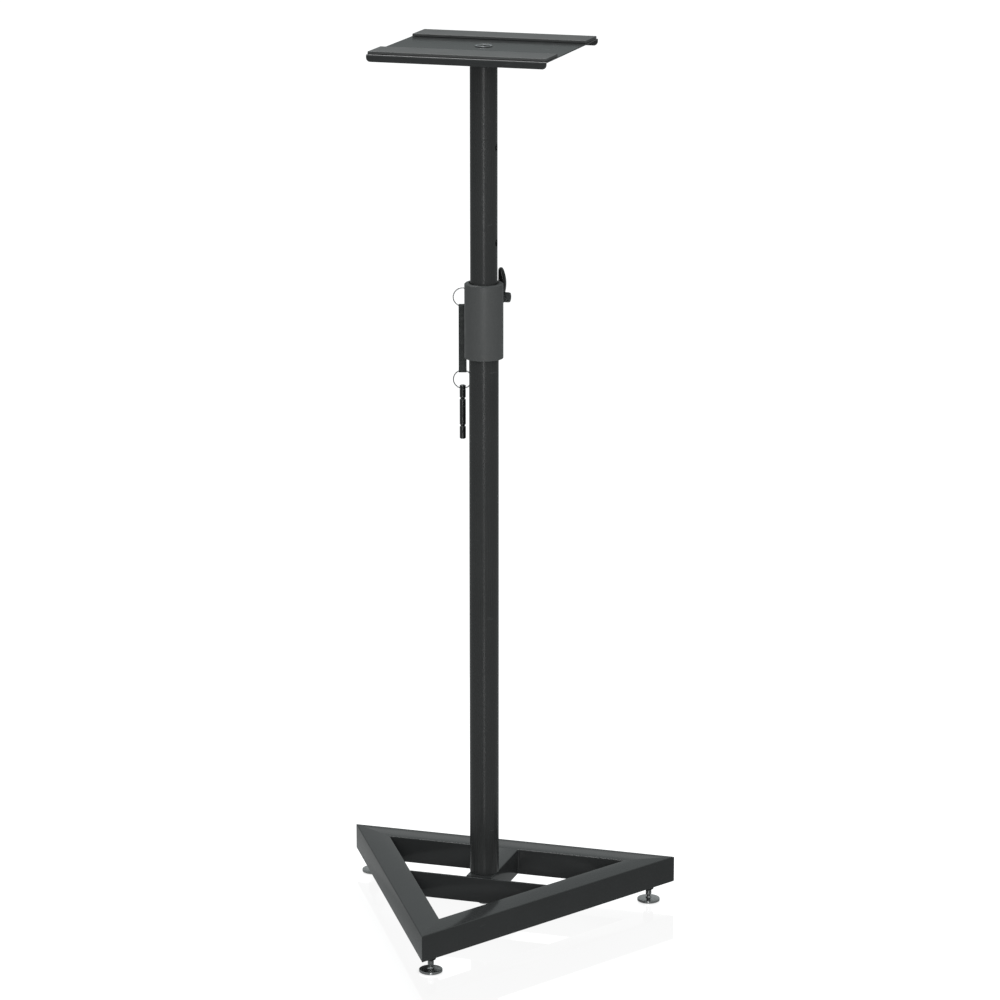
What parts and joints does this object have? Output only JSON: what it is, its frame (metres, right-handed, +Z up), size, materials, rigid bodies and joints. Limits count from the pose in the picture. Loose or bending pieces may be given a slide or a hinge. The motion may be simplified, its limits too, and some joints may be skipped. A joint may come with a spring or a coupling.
{
  "type": "speaker stand",
  "caption": "Height-adjustable floor stand: triangular square-tube base on levelling feet, telescopic round column with clamp collar and locking pin, padded square platform.",
  "frame": {"origin": "on the floor, under the middle of the base's bounding box", "axes": "+Z up along the column, -Y towards the base's apex, +X towards the side of the clamp lever"},
  "size_m": [0.4496, 0.3895, 1.1554],
  "materials": {
    "frame_coat": "fine-textured satin powder coat",
    "collar_coat": "smooth satin coat",
    "lever_plastic": "moulded, satin",
    "nylon": "moulded, matt",
    "zinc_steel": "zinc-plated",
    "bush_steel": "turned, satin",
    "dark_nickel": "dark nickel plate, glossy",
    "ring_wire": "polished spring wire",
    "pad_rubber": "matt, fine grain",
    "strap_leather": "matt"
  },
  "bodies": {
    "base": {"back_rail": "frame_coat", "left_rail": "frame_coat", "right_rail": "frame_coat", "stub_tube": "frame_coat", "cross_bar": "frame_coat", "stub_spacer": "zinc_steel", "base_washer": "zinc_steel", "base_bolt": "zinc_steel", "base_plug": "zinc_steel", "foot_front_insert": "nylon", "foot_right_insert": "nylon", "foot_left_insert": "nylon", "lower_tube": "frame_coat", "collar": "collar_coat", "collar_liner": "nylon", "clamp_bolt": "zinc_steel", "clamp_washer": "zinc_steel", "lanyard_lug": "collar_coat"},
    "column_slider": {"guide_bush": "nylon"},
    "upper_column": {"upper_tube": "frame_coat", "top_plug": "frame_coat", "platform_plate": "frame_coat", "front_pad": "pad_rubber", "back_pad": "pad_rubber", "platform_washer": "zinc_steel", "platform_bolt": "zinc_steel"},
    "lever": {"lever_bush": "bush_steel", "clamp_lever": "lever_plastic"},
    "upper_ring": {"upper_ring": "ring_wire"},
    "strap": {"strap": "strap_leather"},
    "lower_ring": {"lower_ring": "ring_wire"},
    "locking_pin": {"locking_pin": "dark_nickel"},
    "foot_front": {"foot_front_stud": "dark_nickel", "foot_front_disc": "dark_nickel"},
    "foot_right": {"foot_right_stud": "dark_nickel", "foot_right_disc": "dark_nickel"},
    "foot_left": {"foot_left_stud": "dark_nickel", "foot_left_disc": "dark_nickel"}
  },
  "joints": [
    {"name": "column_height", "type": "slide", "parent": "base", "child": "column_slider", "axis": [0, 0, 1], "range_m": [-0.27, 0.19]},
    {"name": "column_turn", "type": "hinge", "parent": "column_slider", "child": "upper_column", "pos_m": [0, 0.06586, 0.8], "axis": [0, 0, 1], "continuous": true},
    {"name": "clamp_lever_turn", "type": "hinge", "parent": "base", "child": "lever", "pos_m": [0, 0.09784, 0.8263], "axis": [-1, 0, 0], "range_deg": [0, 170]},
    {"name": "upper_ring_swing", "type": "hinge", "parent": "base", "child": "upper_ring", "pos_m": [-0.0325, 0.0778, 0.83753], "axis": [0.9537, 0.3007, 0], "range_deg": [-1, 40]},
    {"name": "strap_swing", "type": "hinge", "parent": "upper_ring", "child": "strap", "pos_m": [-0.0325, 0.0778, 0.81577], "axis": [0.9537, 0.3007, 0], "range_deg": [-1, 40]},
    {"name": "lower_ring_swing", "type": "hinge", "parent": "strap", "child": "lower_ring", "pos_m": [-0.0325, 0.0778, 0.73102], "axis": [0.9537, 0.3007, 0], "range_deg": [-2, 40]},
    {"name": "locking_pin_swing", "type": "hinge", "parent": "lower_ring", "child": "locking_pin", "pos_m": [-0.0325, 0.0778, 0.70761], "axis": [0.9537, 0.3007, 0], "range_deg": [-2, 40]},
    {"name": "foot_front_height", "type": "slide", "parent": "base", "child": "foot_front", "axis": [0, 0, 1], "range_m": [-0.008, 0.0075]},
    {"name": "foot_right_height", "type": "slide", "parent": "base", "child": "foot_right", "axis": [0, 0, 1], "range_m": [-0.008, 0.0075]},
    {"name": "foot_left_height", "type": "slide", "parent": "base", "child": "foot_left", "axis": [0, 0, 1], "range_m": [-0.008, 0.0075]}
  ]
}
